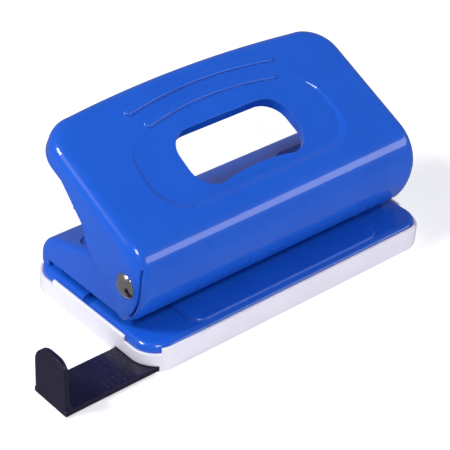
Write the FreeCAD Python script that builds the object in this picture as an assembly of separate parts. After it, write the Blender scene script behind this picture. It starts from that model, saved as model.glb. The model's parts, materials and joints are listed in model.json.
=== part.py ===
"""Desktop two-hole paper punch, in millimetres.

+X runs along the length, -Y is the side where paper goes in, +Z is up.
The origin is the centre of the tray's underside, on the desk.
"""
import FreeCAD, Part
import math
import os

from FreeCAD import Vector

# ---- driving dimensions --------------------------------------------------

# Chip tray
TRAY_LENGTH = 116.8
TRAY_DEPTH = 61.2
TRAY_HEIGHT = 8.6
TRAY_CORNER = 9.0
TRAY_WALL = 2.0
TRAY_LIP = 0.9
TRAY_FLOOR = 1.4
TRAY_LEDGE_Z = 5.4
TRAY_EDGE_ROUND = 1.0
TRAY_RIM_ROUND = 0.7
RELIEF_X = 5.5
RELIEF_Y = 13.0
RELIEF_DEPTH = 1.9

# Base plate
SHEET = 1.2
PLATE_GAP = 0.1
PLATE_TOP = 9.4
PLATE_ROUND = 2.2
TABLE_HALF = 39.0
TABLE_RISE = 0.8
TABLE_FRONT_INSET = 3.0
TABLE_CORNER = 5.0
TABLE_CROWN = 0.7
GROOVE_Y = 2.4
GROOVE_RADIUS = 2.0
GROOVE_REACH = 5.0

# Punch pins and their parts
HOLE_SPACING = 80.0
PIN_Y = 5.5
PIN_DIAMETER = 5.5
PIN_RUN_GAP = 0.05
PIN_TOP = 37.5
PIN_DOME = 6.0
PIN_GRIND = 4.4
PIN_GRIND_DEPTH = 1.0
PAPER_SLOT = 1.5
PIN_TIP_LIFT = 0.2
HOLE_DEPTH_IN_PAPER = 12.0
CLIP_Z = 34.0
CLIP_THICKNESS = 0.8
CLIP_DIAMETER = 10.0
CLIP_GROOVE = 0.6
CLIP_THROAT = 3.0
WASHER_GAP = 0.2
WASHER_DIAMETER = 12.0
WASHER_THICKNESS = 0.8
SPRING_WIRE = 0.8
SPRING_TURNS = 4.5
SPRING_RADIUS = 3.8
SPRING_END_GAP = 0.05
DIE_WALL = 1.8
DIE_DEPTH = 2.0

# Punch frame
FRAME_SIDE_INSET = 3.0
FRAME_REAR_INSET = 2.1
FRAME_BEND = 2.5
WEB_REAR_RADIUS = 8.0
WEB_SLOPE = 18.0
WEB_FRONT_Y = -8.0
WEB_FRONT_Z = 29.5
FRAME_FOOT = 5.0
FRAME_FRONT_SKIRT = 7.0
POCKET_FLOOR = 22.0
POCKET_HALF_X = 12.5
POCKET_HALF_Y = 9.5
POCKET_CORNER = 6.0
FRAME_RIVET_DIAMETER = 3.0
FRAME_RIVET_HEAD = 5.0
FRAME_RIVET_HEAD_HEIGHT = 1.0
FRAME_TAB = 9.0
FRAME_TAB_DEPTH = 9.0
GUIDE_AHEAD = 12.0
STOP_INNER_X = 20.0

# Handle pivot
PIVOT_BEHIND_ROLL = 6.56
PIVOT_Z = 26.0
PIVOT_DIAMETER = 4.5
PIVOT_RUN_GAP = 0.05
PIVOT_HEAD_DIAMETER = 8.2
PIVOT_HEAD_HEIGHT = 2.0
PIVOT_UPSET_DIAMETER = 6.4
PIVOT_UPSET_HEIGHT = 1.2
PIVOT_WASHER_DIAMETER = 6.6
PIVOT_WASHER_THICKNESS = 0.6
NOSE_RADIUS = 4.3
NOSE_LEAN = 20.0
EAR_FOOT_BACK = 4.1
EAR_OVERLAP = 2.0

# Handle shell
FACE_ANGLE = 24.9
FACE_Y = -19.3
FACE_Z = 38.8
FACE_FRONT = -3.6
FACE_REAR = 52.2
FACE_REAR_BOW = 2.4
FACE_REAR_CORNER = 12.0
REAR_LIP = 7.5
FACE_BEND = 4.0
CREASE_BEND = 14.0
PLAN_FRONT = -40.0
ROLL_REACH = 24.1
ROLL_MIDDLE_Z = 27.5
ROLL_BOTTOM_Y = -19.2
ROLL_BOTTOM_Z = 13.9
LIP_Y = -15.4
LIP_Z = 12.5
LIP_INSET = 0.5
SLIT_WIDTH = 0.6
SLIT_TOP = 33.5
FLANGE_HIP = 33.0
FLANGE_HIP_DROP = 7.0
FLANGE_KNEE = (3.4, 36.1)
FLANGE_STEP = (1.6, 30.6)
FLANGE_WAIST = (-2.5, 27.0)
FLANGE_HEEL = (-8.5, 24.0)
FLANGE_SHIN = (-12.2, 18.0)
FLANGE_FOOT_BACK = 2.2
FLANGE_FOOT_LIFT = 1.7
FINGER_HALF = 22.3
FINGER_LOW = 9.2
FINGER_HIGH = 30.2
FINGER_CORNER = 8.0
FINGER_BUMP = 1.5
FINGER_COLLAR = 2.6
DISH_HALF = 37.0
DISH_LOW = 6.8
DISH_HIGH = 34.0
DISH_DEPTH = 1.5
DISH_DRAFT = 1.6
DISH_CORNER = 11.0
RIB_WIDTH = 2.8
RIB_RISE = 0.8
RIB_CROWN = 0.75
RIB_BOW = 2.8
RIB_HALVES = (25.2, 28.6)
RIB_MIDDLES = (38.9, 45.1)
TAB_TILT = 9.0
TAB_LENGTH = 8.0
TAB_REACH = 4.0
TAB_GAP = 0.15

# Ruler
RULER_INSET = 1.6
RULER_WIDTH = 15.1
RULER_THICKNESS = 1.7
RULER_GAP = 0.3
RULER_LIFT = 0.6
RULER_OUT = 29.0
RULER_INSIDE = 67.0
RULER_LIP = 1.5
STOP_THICKNESS = 1.6
STOP_HEIGHT = 19.0
STOP_INSET = 0.5
STOP_GAP = 0.4
STOP_FRONT_ROUND = 4.0
STOP_REAR_ROUND = 7.0
STOP_ROOT_ROUND = 1.6

# ---- values that follow from them ----------------------------------------

PIN_X = HOLE_SPACING / 2
FRAME_HALF = TRAY_LENGTH / 2 - FRAME_SIDE_INSET
FRAME_REAR = TRAY_DEPTH / 2 - FRAME_REAR_INSET
RULER_FRONT = RULER_INSET - TRAY_DEPTH / 2
TABLE_TOP = PLATE_TOP + TABLE_RISE
GUIDE_BOTTOM = TABLE_TOP + PAPER_SLOT
STOP_Y = PIN_Y + HOLE_DEPTH_IN_PAPER
PLATE_INSET = TRAY_LIP + PLATE_GAP
ROLL_LEAN = (ROLL_BOTTOM_Y + ROLL_REACH) / (ROLL_MIDDLE_Z - ROLL_BOTTOM_Z)
PIVOT_Y = PIVOT_BEHIND_ROLL - ROLL_REACH + (ROLL_MIDDLE_Z - PIVOT_Z) * ROLL_LEAN
HANDLE_HALF = FRAME_HALF + PIVOT_WASHER_THICKNESS + SHEET
RULER_ROOF = RULER_LIFT + RULER_THICKNESS + RULER_GAP
RULER_TRAVEL_IN = RULER_OUT - STOP_THICKNESS - STOP_ROOT_ROUND - STOP_GAP
WASHER_TOP = POCKET_FLOOR + WASHER_THICKNESS
BIG = 400.0
TINY = 0.01

SIDES = {"left": -1, "right": 1}


# ---- small helpers -------------------------------------------------------

def block(x0, x1, y0, y1, z0, z1):
    """Rectangular solid between two corners."""
    return Part.makeBox(x1 - x0, y1 - y0, z1 - z0, Vector(x0, y0, z0))


def rounded_block(half_x, y0, y1, radius, z0, z1):
    """Block centred on X whose upright edges are rounded."""
    solid = block(-half_x, half_x, y0, y1, z0, z1)
    upright = [e for e in solid.Edges if e.BoundBox.ZLength > (z1 - z0) * 0.99]
    return solid.makeFillet(radius, upright)


def rod(diameter, x, y, z0, z1):
    """Upright cylinder."""
    return Part.makeCylinder(diameter / 2, z1 - z0, Vector(x, y, z0))


def cross_rod(diameter, side, x0, x1):
    """Cylinder on the pivot axis, between two distances from the middle."""
    start = Vector(side * x0, PIVOT_Y, PIVOT_Z)
    return Part.makeCylinder(diameter / 2, x1 - x0, start, Vector(side, 0, 0))


def line(a, b):
    return Part.LineSegment(Vector(0, *a), Vector(0, *b)).toShape()


def arc(a, b, c):
    return Part.Arc(Vector(0, *a), Vector(0, *b), Vector(0, *c)).toShape()


def prism_x(edges, x0, x1):
    """Solid made by drawing a closed YZ outline along X."""
    face = Part.Face(Part.Wire(Part.__sortEdges__(edges)))
    face.translate(Vector(x0, 0, 0))
    return face.extrude(Vector(x1 - x0, 0, 0))


def on_face(shape):
    """Turn a shape drawn in the handle face's own frame into place.

    In that frame X is X, Y runs up the face and Z is out of it.
    """
    placed = shape.copy()
    placed.rotate(Vector(0, 0, 0), Vector(1, 0, 0), FACE_ANGLE)
    placed.translate(Vector(0, FACE_Y, FACE_Z))
    return placed


def face_yz(along, out=0.0):
    """Y and Z of a point given along the face and out of it."""
    turn = math.radians(FACE_ANGLE)
    y = FACE_Y + along * math.cos(turn) - out * math.sin(turn)
    z = FACE_Z + along * math.sin(turn) + out * math.cos(turn)
    return (y, z)


def save(name, solids):
    """Write one node's solids as a STEP file."""
    shape = solids if isinstance(solids, Part.Shape) else Part.makeCompound(solids)
    if len(shape.Solids) == 1:
        shape = shape.Solids[0]
    shape.exportStep(os.path.join("parts", name + ".step"))
    print(name, "solids", len(shape.Solids), "valid", shape.isValid(), "mm3", round(shape.Volume, 1))


# ---- tray and ruler ------------------------------------------------------

def ruler_groove():
    """Groove under the tray's front, with a lip each side that holds the ruler."""
    x0 = -TRAY_LENGTH
    x1 = RULER_INSIDE + RULER_TRAVEL_IN - TRAY_LENGTH / 2 + RULER_GAP
    y0 = RULER_FRONT
    y1 = RULER_FRONT + RULER_WIDTH
    wide = block(x0, x1, y0 - RULER_GAP, y1 + RULER_GAP, RULER_LIFT - RULER_GAP / 2, RULER_ROOF)
    narrow = block(x0, x1, y0 + RULER_LIP, y1 - RULER_LIP, -1.0, RULER_ROOF)
    return wide.fuse(narrow)


def corner_reliefs():
    """Low stretches of the tray's lip at its four corners."""
    half_x = TRAY_LENGTH / 2
    half_y = TRAY_DEPTH / 2
    cuts = []
    for side_x in (-1, 1):
        for side_y in (-1, 1):
            x = sorted((side_x * (half_x - RELIEF_X), side_x * BIG))
            y = sorted((side_y * (half_y - RELIEF_Y), side_y * BIG))
            cuts.append(block(x[0], x[1], y[0], y[1], TRAY_HEIGHT - RELIEF_DEPTH, BIG))
    return cuts


def make_chip_tray():
    half_x = TRAY_LENGTH / 2
    half_y = TRAY_DEPTH / 2
    body = rounded_block(half_x, -half_y, half_y, TRAY_CORNER, 0, TRAY_HEIGHT)
    bottom = [e for e in body.Edges if e.BoundBox.ZMax < TINY]
    body = body.makeFillet(TRAY_EDGE_ROUND, bottom)
    rim = [e for e in body.Edges if e.BoundBox.ZMin > TRAY_HEIGHT - TINY]
    body = body.makeFillet(TRAY_RIM_ROUND, rim)
    inner = TRAY_CORNER - TRAY_WALL
    split = RULER_FRONT + RULER_WIDTH + RULER_GAP + TRAY_FLOOR
    rear_room = block(-BIG, BIG, split, BIG, TRAY_FLOOR, TRAY_HEIGHT)
    front_room = block(-BIG, BIG, -BIG, split, RULER_ROOF + TRAY_FLOOR, TRAY_HEIGHT)
    well = rounded_block(half_x - TRAY_WALL, TRAY_WALL - half_y, half_y - TRAY_WALL, inner, 0, TRAY_HEIGHT)
    body = body.cut(well.common(rear_room.fuse(front_room)))
    seat = rounded_block(half_x - TRAY_LIP, TRAY_LIP - half_y, half_y - TRAY_LIP,
                         TRAY_CORNER - TRAY_LIP, TRAY_LEDGE_Z, TRAY_HEIGHT + 1)
    return body.cut([seat, ruler_groove()] + corner_reliefs())


def stop_corners(stop, y0, y1):
    """Upper edges through the ruler's stop plate that lie between two depths."""
    found = []
    for e in stop.Edges:
        box = e.BoundBox
        if box.XLength > STOP_THICKNESS / 2 and box.ZMin > STOP_HEIGHT - TINY and y0 < box.YMin < y1:
            found.append(e)
    return found


def make_ruler():
    outer_x = -TRAY_LENGTH / 2 - RULER_OUT
    inner_x = RULER_INSIDE - TRAY_LENGTH / 2
    y0 = RULER_FRONT
    y1 = RULER_FRONT + RULER_WIDTH
    middle = (y0 + y1) / 2
    strip = block(outer_x, inner_x, y0, y1, RULER_LIFT, RULER_LIFT + RULER_THICKNESS)
    stop = block(outer_x, outer_x + STOP_THICKNESS, y0 + STOP_INSET, y1 - STOP_INSET, RULER_LIFT, STOP_HEIGHT)
    stop = stop.makeFillet(STOP_FRONT_ROUND, stop_corners(stop, y0, middle))
    stop = stop.makeFillet(STOP_REAR_ROUND, stop_corners(stop, middle, y1))
    ruler = strip.fuse(stop).removeSplitter()
    root = []
    for e in ruler.Edges:
        box = e.BoundBox
        level = abs(box.ZMin - RULER_LIFT - RULER_THICKNESS) < TINY and box.ZLength < TINY
        if level and box.XLength < TINY and abs(box.XMin - outer_x - STOP_THICKNESS) < TINY:
            root.append(e)
    return ruler.makeFillet(STOP_ROOT_ROUND, root)


# ---- base plate, dies and frame ------------------------------------------

def centre_groove(side, grow):
    """Rod along X that shapes the half-round groove beside a side plate."""
    start = Vector(side * (FRAME_HALF - GROOVE_REACH), GROOVE_Y, PLATE_TOP)
    return Part.makeCylinder(GROOVE_RADIUS + grow, BIG, start, Vector(side, 0, 0))


def make_base_plate():
    half_x = TRAY_LENGTH / 2 - PLATE_INSET
    half_y = TRAY_DEPTH / 2 - PLATE_INSET
    corner = TRAY_CORNER - PLATE_INSET
    outer = rounded_block(half_x, -half_y, half_y, corner, TRAY_LEDGE_Z, PLATE_TOP)
    top = [e for e in outer.Edges if e.BoundBox.ZMin > PLATE_TOP - TINY]
    outer = outer.makeFillet(PLATE_ROUND, top)
    inner = rounded_block(half_x - SHEET, SHEET - half_y, half_y - SHEET, corner - SHEET,
                          TRAY_LEDGE_Z - 1, PLATE_TOP - SHEET)
    table_front = -TRAY_DEPTH / 2 + TABLE_FRONT_INSET
    table = rounded_block(TABLE_HALF, table_front, STOP_Y, TABLE_CORNER, PLATE_TOP - SHEET, TABLE_TOP)
    crown = [e for e in table.Edges if e.BoundBox.ZMin > TABLE_TOP - TINY]
    table = table.makeFillet(TABLE_CROWN, crown)
    troughs = [centre_groove(side, SHEET).common(outer) for side in SIDES.values()]
    plate = outer.cut(inner).fuse([table] + troughs)
    hollow = rounded_block(TABLE_HALF - SHEET, table_front + SHEET, STOP_Y - SHEET, TABLE_CORNER - SHEET,
                           PLATE_TOP - 2 * SHEET, TABLE_TOP - SHEET)
    cuts = [hollow]
    for side in SIDES.values():
        x = side * PIN_X
        cuts.append(rod(PIN_DIAMETER + 2 * DIE_WALL, x, PIN_Y, TRAY_LEDGE_Z, BIG))
        cuts.append(centre_groove(side, 0))
        for y in frame_rivet_rows():
            cuts.append(rod(FRAME_RIVET_DIAMETER, side * frame_rivet_x(), y, TRAY_LEDGE_Z, BIG))
    return plate.cut(cuts).removeSplitter()


def make_die(side):
    x = side * PIN_X
    ring = rod(PIN_DIAMETER + 2 * DIE_WALL, x, PIN_Y, TABLE_TOP - DIE_DEPTH, TABLE_TOP)
    return ring.cut(rod(PIN_DIAMETER + 2 * PIN_RUN_GAP, x, PIN_Y, 0, BIG))


def frame_rivet_x():
    return FRAME_HALF - SHEET - FRAME_TAB / 2


def frame_rivet_rows():
    """Y of the rivets in each foot tab of the frame."""
    return (FRAME_REAR - SHEET - FRAME_TAB_DEPTH / 2, )


def web_profile(inset):
    """Top line of the frame's hood, from its front edge down to its rear foot."""
    slope = math.radians(WEB_SLOPE)
    radius = WEB_REAR_RADIUS
    rear = FRAME_REAR - inset
    centre_y = FRAME_REAR - radius
    tangent_y = centre_y + radius * math.sin(slope)
    tangent_z = WEB_FRONT_Z - (tangent_y - WEB_FRONT_Y) * math.tan(slope)
    centre_z = tangent_z - radius * math.cos(slope)
    inner = radius - inset
    start = (centre_y + inner * math.sin(slope), centre_z + inner * math.cos(slope))
    middle_turn = (math.pi / 2 + slope) / 2
    middle = (centre_y + inner * math.sin(middle_turn), centre_z + inner * math.cos(middle_turn))
    end = (rear, centre_z)
    front = (WEB_FRONT_Y, WEB_FRONT_Z - inset / math.cos(slope))
    return front, start, middle, end


def hood_solid(half_x, inset, bend, floor_z):
    """Closed hood shape under the web line, with rounded long edges."""
    front, start, middle, end = web_profile(inset)
    edges = [line(front, start), arc(start, middle, end), line(end, (end[0], floor_z)),
             line((end[0], floor_z), (front[0], floor_z)), line((front[0], floor_z), front)]
    solid = prism_x(edges, -half_x, half_x)
    long_edges = []
    for e in solid.Edges:
        box = e.BoundBox
        on_side = box.XLength < TINY
        under = box.ZMax < floor_z + TINY
        ahead = box.YMax < front[0] + TINY
        if on_side and not under and not ahead:
            long_edges.append(e)
    return solid.makeFillet(bend, long_edges)


def side_ear(side):
    """Front stretch of a side plate, which carries the pivot and stays behind the handle's lip."""
    lean = math.radians(NOSE_LEAN)
    rise = NOSE_RADIUS * math.cos(lean)
    reach = NOSE_RADIUS * math.sin(lean)
    top = (PIVOT_Y + reach, PIVOT_Z + rise)
    nose = (PIVOT_Y - NOSE_RADIUS, PIVOT_Z)
    low = (PIVOT_Y - rise, PIVOT_Z - reach)
    foot = (LIP_Y + EAR_FOOT_BACK, GUIDE_BOTTOM)
    back = (WEB_FRONT_Y + EAR_OVERLAP, GUIDE_BOTTOM)
    neck = (WEB_FRONT_Y, WEB_FRONT_Z - FRAME_BEND)
    shelf = (back[0], neck[1] - EAR_OVERLAP * math.tan(math.radians(WEB_SLOPE)))
    edges = [arc(top, nose, low), line(low, foot), line(foot, back), line(back, shelf),
             line(shelf, neck), line(neck, top)]
    x = sorted((side * (FRAME_HALF - SHEET), side * FRAME_HALF))
    return prism_x(edges, x[0], x[1])


def pocket(side, grow, z0, z1):
    """Upright rounded block round one pin."""
    solid = rounded_block(POCKET_HALF_X + grow, PIN_Y - POCKET_HALF_Y - grow, PIN_Y + POCKET_HALF_Y + grow,
                          POCKET_CORNER + grow, z0, z1)
    solid.translate(Vector(side * PIN_X, 0, 0))
    return solid


def make_punch_frame():
    outer = hood_solid(FRAME_HALF, 0, FRAME_BEND, PLATE_TOP)
    inner = hood_solid(FRAME_HALF - SHEET, SHEET, FRAME_BEND - SHEET, PLATE_TOP - SHEET)
    skirt_z = WEB_FRONT_Z - FRAME_FRONT_SKIRT
    front_gap = block(SHEET - FRAME_HALF, FRAME_HALF - SHEET, -BIG, WEB_FRONT_Y + SHEET, 0, skirt_z)
    paper_gap = block(-BIG, BIG, -BIG, FRAME_REAR - FRAME_FOOT, 0, GUIDE_BOTTOM)
    frame = outer.cut([inner.fuse(front_gap), paper_gap])
    cups = [pocket(side, SHEET, POCKET_FLOOR - SHEET, BIG).common(outer) for side in SIDES.values()]
    ears = [side_ear(side) for side in SIDES.values()]
    tabs = []
    cuts = [pocket(side, 0, POCKET_FLOOR, BIG) for side in SIDES.values()]
    tab_rear = FRAME_REAR - SHEET
    for side in SIDES.values():
        x = sorted((side * (FRAME_HALF - SHEET - FRAME_TAB), side * (FRAME_HALF - SHEET)))
        tabs.append(block(x[0], x[1], tab_rear - FRAME_TAB_DEPTH, tab_rear, PLATE_TOP, PLATE_TOP + SHEET))
        cuts.append(rod(PIN_DIAMETER + 2 * PIN_RUN_GAP, side * PIN_X, PIN_Y, POCKET_FLOOR - 2 * SHEET, BIG))
        cuts.append(cross_rod(PIVOT_DIAMETER, side, FRAME_HALF - 2 * SHEET, BIG))
        for y in frame_rivet_rows():
            cuts.append(rod(FRAME_RIVET_DIAMETER, side * frame_rivet_x(), y, 0, PLATE_TOP + 2 * SHEET))
    return frame.fuse(cups + ears + tabs).cut(cuts).removeSplitter()


def make_frame_rivets():
    rivets = []
    for side in SIDES.values():
        for y in frame_rivet_rows():
            x = side * frame_rivet_x()
            top = PLATE_TOP + SHEET
            low = PLATE_TOP - SHEET
            shank = rod(FRAME_RIVET_DIAMETER, x, y, low - FRAME_RIVET_HEAD_HEIGHT, top)
            upper = rod(FRAME_RIVET_HEAD, x, y, top, top + FRAME_RIVET_HEAD_HEIGHT)
            lower = rod(FRAME_RIVET_HEAD, x, y, low - FRAME_RIVET_HEAD_HEIGHT, low)
            rivets.append(shank.fuse([upper, lower]).removeSplitter())
    return rivets


def make_guide_plate():
    """Strip that guides the pins' lower ends, with the paper stop at its rear."""
    half = FRAME_HALF - SHEET
    plate = block(-half, half, PIN_Y - GUIDE_AHEAD, STOP_Y + SHEET, GUIDE_BOTTOM, GUIDE_BOTTOM + SHEET)
    stops = []
    for side in SIDES.values():
        x = sorted((side * STOP_INNER_X, side * (half - FRAME_TAB)))
        stops.append(block(x[0], x[1], STOP_Y, STOP_Y + SHEET, PLATE_TOP, GUIDE_BOTTOM))
    holes = [rod(PIN_DIAMETER + 2 * PIN_RUN_GAP, side * PIN_X, PIN_Y, 0, BIG) for side in SIDES.values()]
    return plate.fuse(stops).cut(holes).removeSplitter()


# ---- pins and springs ----------------------------------------------------

def make_punch_pin(side):
    """Pin with a domed top, a clip groove and a hollow-ground tip."""
    x = side * PIN_X
    tip = GUIDE_BOTTOM + PIN_TIP_LIFT
    body = rod(PIN_DIAMETER, x, PIN_Y, tip, PIN_TOP)
    dome = Part.makeSphere(PIN_DOME, Vector(x, PIN_Y, PIN_TOP - PIN_DOME))
    tall = rod(PIN_DIAMETER, x, PIN_Y, tip, PIN_TOP - PIN_DOME)
    body = body.common(dome).fuse(tall).removeSplitter()
    groove = rod(BIG, x, PIN_Y, CLIP_Z, CLIP_Z + CLIP_THICKNESS)
    groove = groove.cut(rod(PIN_DIAMETER - 2 * CLIP_GROOVE, x, PIN_Y, 0, BIG))
    mouth = Part.makeCylinder(PIN_GRIND, 2 * PIN_DIAMETER,
                              Vector(x, PIN_Y - PIN_DIAMETER, tip + PIN_GRIND_DEPTH - PIN_GRIND),
                              Vector(0, 1, 0))
    return body.cut([groove, mouth])


def make_pin_clip(side):
    x = side * PIN_X
    ring = rod(CLIP_DIAMETER, x, PIN_Y, CLIP_Z, CLIP_Z + CLIP_THICKNESS)
    core = PIN_DIAMETER - 2 * CLIP_GROOVE
    throat = block(x - CLIP_THROAT / 2, x + CLIP_THROAT / 2, PIN_Y, PIN_Y + CLIP_DIAMETER, 0, BIG)
    return ring.cut([rod(core, x, PIN_Y, 0, BIG), throat])


def make_spring_washer(side):
    x = side * PIN_X
    ring = rod(WASHER_DIAMETER, x, PIN_Y, POCKET_FLOOR, WASHER_TOP)
    return ring.cut(rod(PIN_DIAMETER + 2 * WASHER_GAP, x, PIN_Y, 0, BIG))


def make_punch_spring(side):
    """Open coil spring between the washer and the pin's clip."""
    low = WASHER_TOP + SPRING_WIRE / 2 + SPRING_END_GAP
    high = CLIP_Z - SPRING_WIRE / 2 - SPRING_END_GAP
    pitch = (high - low) / SPRING_TURNS
    helix = Part.makeHelix(pitch, high - low, SPRING_RADIUS)
    centre = Vector(SPRING_RADIUS, 0, 0)
    circle = Part.Wire(Part.makeCircle(SPRING_WIRE / 2, centre, Vector(0, 1, 0)))
    coil = Part.Wire(helix.Edges).makePipeShell([circle], True, True)
    coil.translate(Vector(side * PIN_X, PIN_Y, low))
    return coil


# ---- pivot ---------------------------------------------------------------

def make_pivot_rivet(side):
    inner = FRAME_HALF - SHEET
    outer = HANDLE_HALF
    shank = cross_rod(PIVOT_DIAMETER, side, inner - PIVOT_UPSET_HEIGHT, outer)
    upset = cross_rod(PIVOT_UPSET_DIAMETER, side, inner - PIVOT_UPSET_HEIGHT, inner)
    radius = PIVOT_HEAD_DIAMETER / 2
    dome_radius = (radius ** 2 + PIVOT_HEAD_HEIGHT ** 2) / (2 * PIVOT_HEAD_HEIGHT)
    centre = Vector(side * (outer + PIVOT_HEAD_HEIGHT - dome_radius), PIVOT_Y, PIVOT_Z)
    head = Part.makeSphere(dome_radius, centre)
    head = head.common(cross_rod(PIVOT_HEAD_DIAMETER, side, outer + PIVOT_RUN_GAP, outer + BIG))
    neck = cross_rod(PIVOT_DIAMETER, side, outer, outer + 2 * PIVOT_RUN_GAP)
    return shank.fuse([upset, neck, head]).removeSplitter()


def make_pivot_washer(side):
    outer = FRAME_HALF + PIVOT_WASHER_THICKNESS - PIVOT_RUN_GAP
    ring = cross_rod(PIVOT_WASHER_DIAMETER, side, FRAME_HALF, outer)
    return ring.cut(cross_rod(PIVOT_DIAMETER, side, 0, BIG))


# ---- handle --------------------------------------------------------------

def roll_points(inset):
    """Start, middle and end of the front roll's arc, moved inwards by inset."""
    top = face_yz(FACE_FRONT)
    circle = arc(top, (-ROLL_REACH, ROLL_MIDDLE_Z), (ROLL_BOTTOM_Y, ROLL_BOTTOM_Z)).Curve
    radius = circle.Radius - inset
    centre_y = circle.Center.y
    centre_z = circle.Center.z
    turn = math.radians(FACE_ANGLE)
    out = (centre_z - FACE_Z) * math.cos(turn) - (centre_y - FACE_Y) * math.sin(turn)
    rise = math.asin((-inset - out) / radius)
    start = math.pi - rise + turn
    end = math.atan2(ROLL_BOTTOM_Z - centre_z, ROLL_BOTTOM_Y - centre_y) % (2 * math.pi)
    angles = (start, (start + end) / 2, end)
    return [(centre_y + radius * math.cos(a), centre_z + radius * math.sin(a)) for a in angles]


def middle_yz(edge):
    """Y and Z of the point halfway along an edge."""
    point = edge.valueAt((edge.FirstParameter + edge.LastParameter) / 2)
    return (point.y, point.z)


def flange_outline():
    """Lower edge of a side flange, from the rear lip to the front lip."""
    rear = face_yz(FACE_REAR, -REAR_LIP)
    hip = face_yz(FLANGE_HIP, -FLANGE_HIP_DROP)
    foot = (LIP_Y + FLANGE_FOOT_BACK, LIP_Z + FLANGE_FOOT_LIFT)
    return [rear, hip, FLANGE_KNEE, FLANGE_STEP, FLANGE_WAIST, FLANGE_HEEL, FLANGE_SHIN, foot]


def handle_plan(inset):
    """Upright block, in the face's frame, with the handle's bowed rear and rounded rear corners."""
    half = HANDLE_HALF - inset
    middle = FACE_REAR - inset
    end = middle - FACE_REAR_BOW
    corner = FACE_REAR_CORNER - inset
    straight = half - corner
    diagonal = corner * math.sqrt(0.5)

    def at(x, y):
        return Vector(x, y, -BIG / 2)

    parts = [Part.Arc(at(-straight, end), at(0, middle), at(straight, end)),
             Part.Arc(at(straight, end), at(straight + diagonal, end - corner + diagonal),
                      at(half, end - corner)),
             Part.LineSegment(at(half, end - corner), at(half, PLAN_FRONT)),
             Part.LineSegment(at(half, PLAN_FRONT), at(-half, PLAN_FRONT)),
             Part.LineSegment(at(-half, PLAN_FRONT), at(-half, end - corner)),
             Part.Arc(at(-half, end - corner), at(-straight - diagonal, end - corner + diagonal),
                      at(-straight, end))]
    face = Part.Face(Part.Wire([p.toShape() for p in parts]))
    return on_face(face.extrude(Vector(0, 0, BIG)))


def out_of_face(point):
    """Height of a point out of the handle's face."""
    turn = math.radians(FACE_ANGLE)
    return (point.z - FACE_Z) * math.cos(turn) - (point.y - FACE_Y) * math.sin(turn)


def bend_shell(solid, inset, top):
    """Round the crease over the roll, then the edges all round the face."""
    crease = [e for e in solid.Edges if math.dist(middle_yz(e), top) < TINY]
    solid = solid.makeFillet(CREASE_BEND - inset, crease)
    rim = []
    for e in solid.Edges:
        points = [v.Point for v in e.Vertexes] + [e.CenterOfMass]
        flat = all(abs(out_of_face(p) + inset) < TINY for p in points)
        crossing = e.BoundBox.XLength > HANDLE_HALF and e.BoundBox.YMax < FACE_Y + CREASE_BEND
        if flat and not crossing:
            rim.append(e)
    return solid.makeFillet(FACE_BEND - inset, rim)


def handle_body():
    top, middle, low = roll_points(0)
    flange = flange_outline()
    rear_top = face_yz(FACE_REAR)
    edges = [line(rear_top, top), arc(top, middle, low), line(low, (LIP_Y, LIP_Z)),
             line((LIP_Y, LIP_Z), flange[-1]), line(flange[0], rear_top)]
    edges += [line(a, b) for a, b in zip(flange, flange[1:])]
    outer = prism_x(edges, -BIG, BIG).common(handle_plan(0))
    return bend_shell(outer, 0, top)


def handle_room():
    """Space inside the shell, open below."""
    top, middle, low = roll_points(SHEET)
    face_rear = face_yz(BIG, -SHEET)
    lip_in = (LIP_Y + LIP_INSET, LIP_Z + SHEET)
    below = (face_rear[0], lip_in[1])
    edges = [line(face_rear, top), arc(top, middle, low), line(low, lip_in), line(lip_in, below),
             line(below, face_rear)]
    room = prism_x(edges, -BIG, BIG).common(handle_plan(SHEET))
    return bend_shell(room, SHEET, top)


def finger_outline(grow):
    """Closed outline of the finger hole in the face's frame."""
    half = FINGER_HALF + grow
    low = FINGER_LOW - grow
    high = FINGER_HIGH + grow
    corner = FINGER_CORNER + grow
    straight = half - corner
    diagonal = corner * math.sqrt(0.5)

    def at(x, y):
        return Vector(x, y, 0)

    parts = [Part.Arc(at(-straight, low), at(0, low + FINGER_BUMP), at(straight, low)),
             Part.Arc(at(straight, low), at(straight + diagonal, low + corner - diagonal),
                      at(half, low + corner)),
             Part.LineSegment(at(half, low + corner), at(half, high - corner)),
             Part.Arc(at(half, high - corner), at(straight + diagonal, high - corner + diagonal),
                      at(straight, high)),
             Part.LineSegment(at(straight, high), at(-straight, high)),
             Part.Arc(at(-straight, high), at(-straight - diagonal, high - corner + diagonal),
                      at(-half, high - corner)),
             Part.LineSegment(at(-half, high - corner), at(-half, low + corner)),
             Part.Arc(at(-half, low + corner), at(-straight - diagonal, low + corner - diagonal),
                      at(-straight, low))]
    return Part.Face(Part.Wire([p.toShape() for p in parts]))


def finger_prism(grow, low, high):
    face = finger_outline(grow)
    face.translate(Vector(0, 0, low))
    return on_face(face.extrude(Vector(0, 0, high - low)))


def dish_tool(grow, low, high):
    """Drafted block over the dish, whose floor rises to meet the face at the top."""
    tilt = math.degrees(math.atan2(DISH_DEPTH, DISH_HIGH - DISH_LOW))
    wires = []
    for z in (low, high):
        out = grow + (z - low) * DISH_DRAFT
        half = DISH_HALF + out
        corner = DISH_CORNER + out
        block_at = rounded_block(half, DISH_LOW - out, DISH_HIGH + out, corner, z, z + SHEET)
        bottom = [f for f in block_at.Faces if f.BoundBox.ZMax < z + TINY]
        wires.append(bottom[0].OuterWire)
    solid = Part.makeLoft(wires, True, True)
    solid.rotate(Vector(0, DISH_HIGH, 0), Vector(1, 0, 0), tilt)
    return solid


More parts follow.
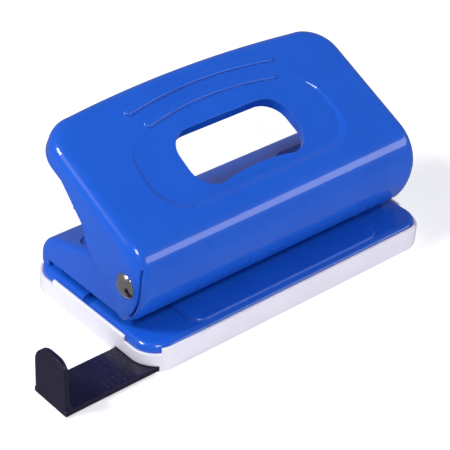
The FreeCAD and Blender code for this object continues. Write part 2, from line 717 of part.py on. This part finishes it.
def rib(half, middle):
    """Raised rib with rounded ends, bowed up the face."""
    radius = (half ** 2 + RIB_BOW ** 2) / (2 * RIB_BOW)
    centre = middle - radius
    swing = math.asin(half / radius)
    wide = RIB_WIDTH / 2

    def at(angle, out, past=0.0):
        x = (radius + out) * math.sin(angle) + past * math.cos(angle)
        y = centre + (radius + out) * math.cos(angle) - past * math.sin(angle)
        return Vector(x, y, -SHEET)

    parts = [Part.Arc(at(-swing, wide), at(0, wide), at(swing, wide)),
             Part.Arc(at(swing, wide), at(swing, 0, wide), at(swing, -wide)),
             Part.Arc(at(swing, -wide), at(0, -wide), at(-swing, -wide)),
             Part.Arc(at(-swing, -wide), at(-swing, 0, -wide), at(-swing, wide))]
    face = Part.Face(Part.Wire([p.toShape() for p in parts]))
    solid = face.extrude(Vector(0, 0, SHEET + RIB_RISE))
    crown = [e for e in solid.Edges if e.BoundBox.ZMin > RIB_RISE - TINY]
    return on_face(solid.makeFillet(RIB_CROWN, crown))


def press_tab(side):
    """Tab that turns in from a flange and presses on a pin."""
    x = sorted((side * (PIN_X - TAB_REACH), side * (HANDLE_HALF - SHEET)))
    tab = block(x[0], x[1], -TAB_LENGTH / 2, TAB_LENGTH / 2, 0, SHEET)
    tab.rotate(Vector(0, 0, 0), Vector(1, 0, 0), TAB_TILT)
    tilt = math.radians(TAB_TILT)
    lift = PIN_DOME / math.cos(tilt) - PIN_DOME + TAB_GAP
    tab.translate(Vector(0, PIN_Y, PIN_TOP + lift))
    return tab


def roll_slits():
    """Thin relief slit in each flange, just inside the roll."""
    outer = roll_points(SHEET)
    inner = roll_points(SHEET + SLIT_WIDTH)
    edges = [arc(*outer), line(outer[2], inner[2]), arc(*inner), line(inner[0], outer[0])]
    return prism_x(edges, -BIG, BIG).common(block(-BIG, BIG, -BIG, BIG, 0, SLIT_TOP))


def make_handle():
    outer = handle_body()
    shell = outer.cut(handle_room())
    below_face = on_face(block(-BIG, BIG, -BIG, BIG, -FINGER_COLLAR - DISH_DEPTH, 0))
    dish_back = on_face(dish_tool(SHEET, -SHEET, DISH_DEPTH)).common(below_face)
    collar = finger_prism(SHEET, -FINGER_COLLAR - DISH_DEPTH, 0).common(below_face)
    ribs = [rib(half, middle) for half, middle in zip(RIB_HALVES, RIB_MIDDLES)]
    tabs = [press_tab(side) for side in SIDES.values()]
    shell = shell.fuse([dish_back, collar] + ribs + tabs)
    cuts = [on_face(dish_tool(0, 0, 2 * DISH_DEPTH)), finger_prism(0, -FACE_REAR, FACE_REAR), roll_slits()]
    hole = PIVOT_DIAMETER + 2 * PIVOT_RUN_GAP
    cuts += [cross_rod(hole, side, FRAME_HALF, BIG) for side in SIDES.values()]
    return shell.cut(cuts).removeSplitter()


# ---- write every node ----------------------------------------------------

def main():
    os.makedirs("parts", exist_ok=True)
    save("chip_tray", make_chip_tray())
    save("ruler", make_ruler())
    save("base_plate", make_base_plate())
    save("punch_frame", make_punch_frame())
    save("frame_rivets", make_frame_rivets())
    save("guide_plate", make_guide_plate())
    save("handle", make_handle())
    for name, side in SIDES.items():
        save("die_" + name, make_die(side))
        save("punch_pin_" + name, make_punch_pin(side))
        save("pin_clip_" + name, make_pin_clip(side))
        save("spring_washer_" + name, make_spring_washer(side))
        save("punch_spring_" + name, make_punch_spring(side))
        save("pivot_rivet_" + name, make_pivot_rivet(side))
        save("pivot_washer_" + name, make_pivot_washer(side))


main()
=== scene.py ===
"""Looks of the two-hole paper punch, in metres: materials, ruler marks, springs, light, camera."""
import json
import math

import bmesh
import bpy
from mathutils import Matrix, Vector


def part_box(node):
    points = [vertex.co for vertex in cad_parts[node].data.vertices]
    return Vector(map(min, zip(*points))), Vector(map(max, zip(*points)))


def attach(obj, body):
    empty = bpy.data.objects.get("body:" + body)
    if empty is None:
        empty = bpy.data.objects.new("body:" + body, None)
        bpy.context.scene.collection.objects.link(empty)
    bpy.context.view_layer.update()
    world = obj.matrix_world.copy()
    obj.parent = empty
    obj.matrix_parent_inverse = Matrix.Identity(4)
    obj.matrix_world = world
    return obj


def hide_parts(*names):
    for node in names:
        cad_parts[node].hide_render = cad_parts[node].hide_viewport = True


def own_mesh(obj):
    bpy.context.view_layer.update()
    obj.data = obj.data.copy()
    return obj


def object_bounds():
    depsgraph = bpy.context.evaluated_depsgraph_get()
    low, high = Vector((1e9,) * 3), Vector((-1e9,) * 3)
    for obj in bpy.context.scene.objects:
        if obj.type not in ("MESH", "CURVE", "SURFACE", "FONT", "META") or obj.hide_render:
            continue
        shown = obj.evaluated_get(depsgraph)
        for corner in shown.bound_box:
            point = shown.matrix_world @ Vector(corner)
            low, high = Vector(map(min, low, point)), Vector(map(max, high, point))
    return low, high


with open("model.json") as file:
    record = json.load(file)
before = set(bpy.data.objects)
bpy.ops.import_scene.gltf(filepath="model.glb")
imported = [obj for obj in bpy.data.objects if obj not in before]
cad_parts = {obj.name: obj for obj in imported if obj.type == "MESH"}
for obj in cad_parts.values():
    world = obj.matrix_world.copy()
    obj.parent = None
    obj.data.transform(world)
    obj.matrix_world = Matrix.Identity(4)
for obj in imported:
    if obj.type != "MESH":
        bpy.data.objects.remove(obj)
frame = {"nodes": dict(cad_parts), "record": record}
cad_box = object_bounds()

MM = 0.001

# ---- camera ----------------------------------------------------------------

CAMERA_AZIMUTH = math.radians(-42.235)
CAMERA_ELEVATION = math.radians(34.108)
CAMERA_ROLL = math.radians(2.663)
CAMERA_PLACE = Vector((-287.89, -312.63, 302.03)) * MM
CAMERA_LENS = 129.11
CAMERA_SENSOR = 36.0

# ---- light -----------------------------------------------------------------

LIGHT_AIM = Vector((0, 0, 25)) * MM
# name: azimuth, elevation (degrees), distance, width, height (metres), power (watts), colour
LIGHTS = {
    "key_left": (-112, 46, 0.95, 0.24, 0.24, 6.6, (1.0, 0.995, 0.99)),
    "front": (-25, 52, 1.05, 0.30, 0.26, 4.2, (0.99, 0.99, 1.0)),
    "low_right": (42, 24, 1.00, 0.70, 0.22, 2.0, (0.97, 0.96, 1.0)),
}
SKY_LOW = (0.40, 0.39, 0.44)
SKY_HIGH = (0.30, 0.31, 0.36)
SKY_STRENGTH = 0.5
SKY_RAMP = (0.15, 0.80)
FLOOR_GLOW = 0.36
FLOOR_HALF = 6.0
FLOOR_PATCH = 60.0

# ---- ruler marks, sizes ------------------------------------------------------

MARK_RULER_TOP = 1.70 * MM
MARK_START = 16.0 * MM
MARK_STEP = 2.0 * MM
MARK_COUNT = 5
MARK_SHORT = 4.0 * MM
MARK_LONG = 13.5 * MM
MARK_EDGE = 0.8 * MM
MARK_WIDTH = 0.30 * MM
MARK_RISE = 0.12 * MM
MARK_BEVEL = MARK_RISE * 0.4

# ---- materials -------------------------------------------------------------

# Each row: base colour, second shade, colour at worn edges, share of wear, roughness, its spread,
# grain size and depth, edge radius (mm), stretch of the grain, and constants of the shader.
FINISHES = {
    "blue_paint": dict(
        base=(0.0095, 0.103, 0.60), shade=(0.0080, 0.091, 0.56), worn=(0.05, 0.20, 0.78), wear=0.35,
        rough=0.30, spread=0.05, grain=2.4, depth=0.002, edge=0.35, stretch=(1, 1, 1),
        shader={"Specular IOR Level": 0.15, "Coat Weight": 0.8, "Coat Roughness": 0.03, "Coat IOR": 1.5}),
    "tray_plastic": dict(
        base=(0.80, 0.78, 0.86), shade=(0.76, 0.74, 0.83), worn=(0.88, 0.87, 0.92), wear=0.4,
        rough=0.34, spread=0.06, grain=0.8, depth=0.012, edge=0.5, stretch=(1, 1, 1),
        shader={"Subsurface Weight": 0.15, "Subsurface Scale": 0.002, "IOR": 1.5}),
    "ruler_plastic": dict(
        base=(0.0085, 0.0070, 0.0230), shade=(0.0110, 0.0085, 0.0290), worn=(0.05, 0.045, 0.08), wear=0.45,
        rough=0.30, spread=0.07, grain=0.45, depth=0.010, edge=0.45, stretch=(1, 1, 1),
        shader={"IOR": 1.5, "Specular IOR Level": 0.35}),
    "nickel": dict(
        base=(0.74, 0.71, 0.68), shade=(0.66, 0.63, 0.60), worn=(0.85, 0.83, 0.80), wear=0.5,
        rough=0.16, spread=0.05, grain=0.5, depth=0.006, edge=0.2, stretch=(1, 1, 1),
        shader={"Metallic": 1.0}),
    "tool_steel": dict(
        base=(0.55, 0.55, 0.56), shade=(0.46, 0.46, 0.48), worn=(0.72, 0.72, 0.73), wear=0.5,
        rough=0.27, spread=0.08, grain=0.25, depth=0.008, edge=0.15, stretch=(1, 1, 8),
        shader={"Metallic": 1.0}),
    "spring_steel": dict(
        base=(0.45, 0.45, 0.47), shade=(0.36, 0.36, 0.38), worn=(0.62, 0.62, 0.64), wear=0.5,
        rough=0.30, spread=0.08, grain=0.3, depth=0.006, edge=0.1, stretch=(1, 1, 1),
        shader={"Metallic": 1.0}),
    "zinc": dict(
        base=(0.66, 0.67, 0.72), shade=(0.55, 0.57, 0.63), worn=(0.80, 0.81, 0.84), wear=0.5,
        rough=0.30, spread=0.09, grain=1.2, depth=0.006, edge=0.15, stretch=(1, 1, 1),
        shader={"Metallic": 1.0}),
    "washer_nylon": dict(
        base=(0.74, 0.73, 0.68), shade=(0.68, 0.67, 0.61), worn=(0.82, 0.81, 0.77), wear=0.3,
        rough=0.42, spread=0.06, grain=0.5, depth=0.008, edge=0.15, stretch=(1, 1, 1),
        shader={"Subsurface Weight": 0.2, "Subsurface Scale": 0.001}),
}
SHADE_PATCH = 22.0
EDGE_GAIN = 6.0
BEVEL_SAMPLES = 12
WEAR_PATCH = 1.8
WEAR_LEAST = 0.2
MIX_FACTOR, MIX_A, MIX_B, MIX_RESULT = 0, 6, 7, 2


class Graph:
    """Node tree of one material, with the few node kinds that the finishes use."""

    def __init__(self, name):
        self.material = bpy.data.materials.new(name)
        self.material.use_nodes = True
        self.nodes = self.material.node_tree.nodes
        self.nodes.clear()

    def add(self, kind, **inputs):
        node = self.nodes.new(kind)
        for key, value in inputs.items():
            self.set(node, key.replace("_", " "), value)
        return node

    def set(self, node, key, value):
        if isinstance(value, bpy.types.NodeSocket):
            self.material.node_tree.links.new(value, node.inputs[key])
        elif hasattr(value, "__len__") and len(value) == 3 and node.inputs[key].type == "RGBA":
            node.inputs[key].default_value = (*value, 1.0)
        else:
            node.inputs[key].default_value = value

    def noise(self, place, size_mm, detail=3.0):
        """Noise whose features are about size_mm across."""
        node = self.add("ShaderNodeTexNoise", Vector=place, Scale=1.0 / (size_mm * MM), Detail=detail)
        return node.outputs["Fac"]

    def spread(self, source, low, high, start=0.3, end=0.7):
        node = self.add("ShaderNodeMapRange", Value=source, From_Min=start, From_Max=end,
                        To_Min=low, To_Max=high)
        return node.outputs["Result"]

    def math(self, operation, a, b):
        node = self.nodes.new("ShaderNodeMath")
        node.operation = operation
        self.set(node, 0, a)
        self.set(node, 1, b)
        return node.outputs["Value"]

    def mix(self, factor, a, b):
        node = self.nodes.new("ShaderNodeMix")
        node.data_type = "RGBA"
        self.set(node, MIX_FACTOR, factor)
        self.set(node, MIX_A, a)
        self.set(node, MIX_B, b)
        return node.outputs[MIX_RESULT]

    def output(self, shader):
        self.add("ShaderNodeOutputMaterial", Surface=shader)
        return self.material


def edge_mask(graph, radius_mm, place):
    """Bevelled normal, and how much a point lies on an edge: 0 on flats, towards 1 on edges."""
    bevel = graph.add("ShaderNodeBevel", Radius=radius_mm * MM)
    bevel.samples = BEVEL_SAMPLES
    flat = graph.nodes.new("ShaderNodeNewGeometry").outputs["Normal"]
    dot = graph.nodes.new("ShaderNodeVectorMath")
    dot.operation = "DOT_PRODUCT"
    graph.set(dot, 0, bevel.outputs["Normal"])
    graph.set(dot, 1, flat)
    bend = graph.math("SUBTRACT", 1.0, dot.outputs["Value"])
    patchy = graph.spread(graph.noise(place, WEAR_PATCH), WEAR_LEAST, 1.0)
    gained = graph.math("MULTIPLY", graph.math("MULTIPLY", bend, EDGE_GAIN), patchy)
    return bevel.outputs["Normal"], graph.math("MINIMUM", gained, 1.0)


def make_finish(name, row):
    """One moulded, painted or metal finish with colour variation, grain and edge wear."""
    graph = Graph(name)
    place = graph.nodes.new("ShaderNodeTexCoord").outputs["Object"]
    if row["stretch"] != (1, 1, 1):
        mapping = graph.add("ShaderNodeMapping", Vector=place, Scale=[1 / s for s in row["stretch"]])
        place = mapping.outputs["Vector"]
    normal, edge = edge_mask(graph, row["edge"], place)
    patches = graph.spread(graph.noise(place, SHADE_PATCH, 4.0), 0.0, 1.0)
    colour = graph.mix(patches, row["base"], row["shade"])
    colour = graph.mix(graph.math("MULTIPLY", edge, row["wear"]), colour, row["worn"])
    fine = graph.noise(place, row["grain"] * 3, 5.0)
    rough = graph.spread(fine, row["rough"] - row["spread"], row["rough"] + row["spread"])
    grain = graph.noise(place, row["grain"], 2.0)
    bump = graph.add("ShaderNodeBump", Height=grain, Distance=row["depth"] * MM, Normal=normal)
    bump.inputs["Strength"].default_value = 1.0
    shader = graph.add("ShaderNodeBsdfPrincipled", Base_Color=colour, Roughness=rough,
                       Normal=bump.outputs["Normal"])
    for key, value in row["shader"].items():
        shader.inputs[key].default_value = value
    if row["shader"].get("Coat Weight"):
        graph.set(shader, "Coat Normal", normal)
    return graph.output(shader.outputs["BSDF"])


def dress_nodes(finishes):
    """Give every CAD node the finish of its slot in the record."""
    for row in frame["record"]["subparts"]:
        node = frame["nodes"][row["node"]]
        node.data.materials.clear()
        node.data.materials.append(finishes[row["material_slot"]])


# ---- ruler marks -------------------------------------------------------------

def make_ruler_marks(finish):
    """Raised generic ticks across the ruler, with one long line nearest the tray."""
    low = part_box("ruler")[0]
    top = low[2] + MARK_RULER_TOP
    mesh = bmesh.new()
    for number in range(MARK_COUNT):
        x = low[0] + MARK_START + number * MARK_STEP
        reach = MARK_LONG if number == MARK_COUNT - 1 else MARK_SHORT
        front = low[1] + MARK_EDGE
        tick = bmesh.ops.create_cube(mesh, size=1.0)["verts"]
        bmesh.ops.scale(mesh, vec=(MARK_WIDTH, reach, MARK_RISE * 2), verts=tick)
        bmesh.ops.translate(mesh, vec=(x, front + reach / 2, top), verts=tick)
    bmesh.ops.bevel(mesh, geom=mesh.edges[:], offset=MARK_BEVEL, segments=1, affect="EDGES")
    data = bpy.data.meshes.new("ruler_marks")
    mesh.to_mesh(data)
    mesh.free()
    data.materials.append(finish)
    marks = bpy.data.objects.new("ruler_marks", data)
    bpy.context.scene.collection.objects.link(marks)
    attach(marks, "ruler")


# ---- springs -----------------------------------------------------------------

def make_spring(side, finish):
    """The pin's return spring, on the base, copied from the CAD part at one fixed length."""
    node = "punch_spring_" + side
    data = frame["nodes"][node].data.copy()
    data.name = "return_spring_" + side
    data.materials.clear()
    data.materials.append(finish)
    spring = bpy.data.objects.new("return_spring_" + side, data)
    bpy.context.scene.collection.objects.link(spring)
    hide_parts(node)
    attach(spring, "base")
    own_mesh(spring)


# ---- floor, light and camera -----------------------------------------------

def make_floor():
    size = FLOOR_HALF
    mesh = bpy.data.meshes.new("floor")
    corners = [(-size, -size, 0), (size, -size, 0), (size, size, 0), (-size, size, 0)]
    mesh.from_pydata(corners, [], [(0, 1, 2, 3)])
    floor = bpy.data.objects.new("floor", mesh)
    bpy.context.scene.collection.objects.link(floor)
    floor.location.z = cad_box[0][2]
    graph = Graph("floor_paper")
    place = graph.nodes.new("ShaderNodeTexCoord").outputs["Object"]
    colour = graph.mix(graph.noise(place, FLOOR_PATCH), (0.90, 0.90, 0.91), (0.93, 0.93, 0.935))
    shader = graph.add("ShaderNodeBsdfPrincipled", Base_Color=colour)
    shader.inputs["Roughness"].default_value = 0.7
    shader.inputs["Specular IOR Level"].default_value = 0.2
    shader.inputs["Emission Strength"].default_value = FLOOR_GLOW
    mesh.materials.append(graph.output(shader.outputs["BSDF"]))
    floor.visible_glossy = False


def from_angles(azimuth, elevation):
    """Unit vector towards a place seen at this azimuth and elevation."""
    level = math.cos(elevation)
    return Vector((math.sin(azimuth) * level, -math.cos(azimuth) * level, math.sin(elevation)))


def make_lights():
    for name, (azimuth, elevation, distance, width, height, power, colour) in LIGHTS.items():
        data = bpy.data.lights.new(name, "AREA")
        data.shape = "RECTANGLE"
        data.size = width
        data.size_y = height
        data.energy = power
        data.color = colour
        light = bpy.data.objects.new(name, data)
        back = from_angles(math.radians(azimuth), math.radians(elevation))
        light.location = LIGHT_AIM + distance * back
        light.rotation_euler = back.to_track_quat("Z", "Y").to_euler()
        bpy.context.scene.collection.objects.link(light)


def make_sky():
    """Pale at the horizon and darker overhead, so that gloss has something to show."""
    world = bpy.data.worlds.new("studio")
    world.use_nodes = True
    tree = world.node_tree
    coords = tree.nodes.new("ShaderNodeTexCoord")
    split = tree.nodes.new("ShaderNodeSeparateXYZ")
    ramp = tree.nodes.new("ShaderNodeMapRange")
    ramp.inputs["From Min"].default_value = SKY_RAMP[0]
    ramp.inputs["From Max"].default_value = SKY_RAMP[1]
    blend = tree.nodes.new("ShaderNodeMix")
    blend.data_type = "RGBA"
    blend.inputs[MIX_A].default_value = (*SKY_LOW, 1.0)
    blend.inputs[MIX_B].default_value = (*SKY_HIGH, 1.0)
    background = tree.nodes["Background"]
    background.inputs["Strength"].default_value = SKY_STRENGTH
    tree.links.new(coords.outputs["Generated"], split.inputs[0])
    tree.links.new(split.outputs["Z"], ramp.inputs["Value"])
    tree.links.new(ramp.outputs["Result"], blend.inputs[MIX_FACTOR])
    tree.links.new(blend.outputs[MIX_RESULT], background.inputs["Color"])
    bpy.context.scene.world = world


def make_camera():
    back = from_angles(CAMERA_AZIMUTH, CAMERA_ELEVATION)
    right = Vector((math.cos(CAMERA_AZIMUTH), math.sin(CAMERA_AZIMUTH), 0))
    up = back.cross(right)
    turned_right = math.cos(CAMERA_ROLL) * right + math.sin(CAMERA_ROLL) * up
    turned_up = math.cos(CAMERA_ROLL) * up - math.sin(CAMERA_ROLL) * right
    data = bpy.data.cameras.new("camera")
    data.sensor_width = CAMERA_SENSOR
    data.lens = CAMERA_LENS
    data.clip_start = 0.01
    camera = bpy.data.objects.new("camera", data)
    matrix = Matrix((turned_right, turned_up, back)).transposed().to_4x4()
    matrix.translation = CAMERA_PLACE
    camera.matrix_world = matrix
    bpy.context.scene.collection.objects.link(camera)
    bpy.context.scene.camera = camera


make_camera()
finishes = {name: make_finish(name, row) for name, row in FINISHES.items()}
dress_nodes(finishes)
make_ruler_marks(finishes["ruler_plastic"])
for side in ("left", "right"):
    make_spring(side, finishes["spring_steel"])
make_floor()
make_lights()
make_sky()
bpy.context.scene.view_settings.view_transform = "Standard"
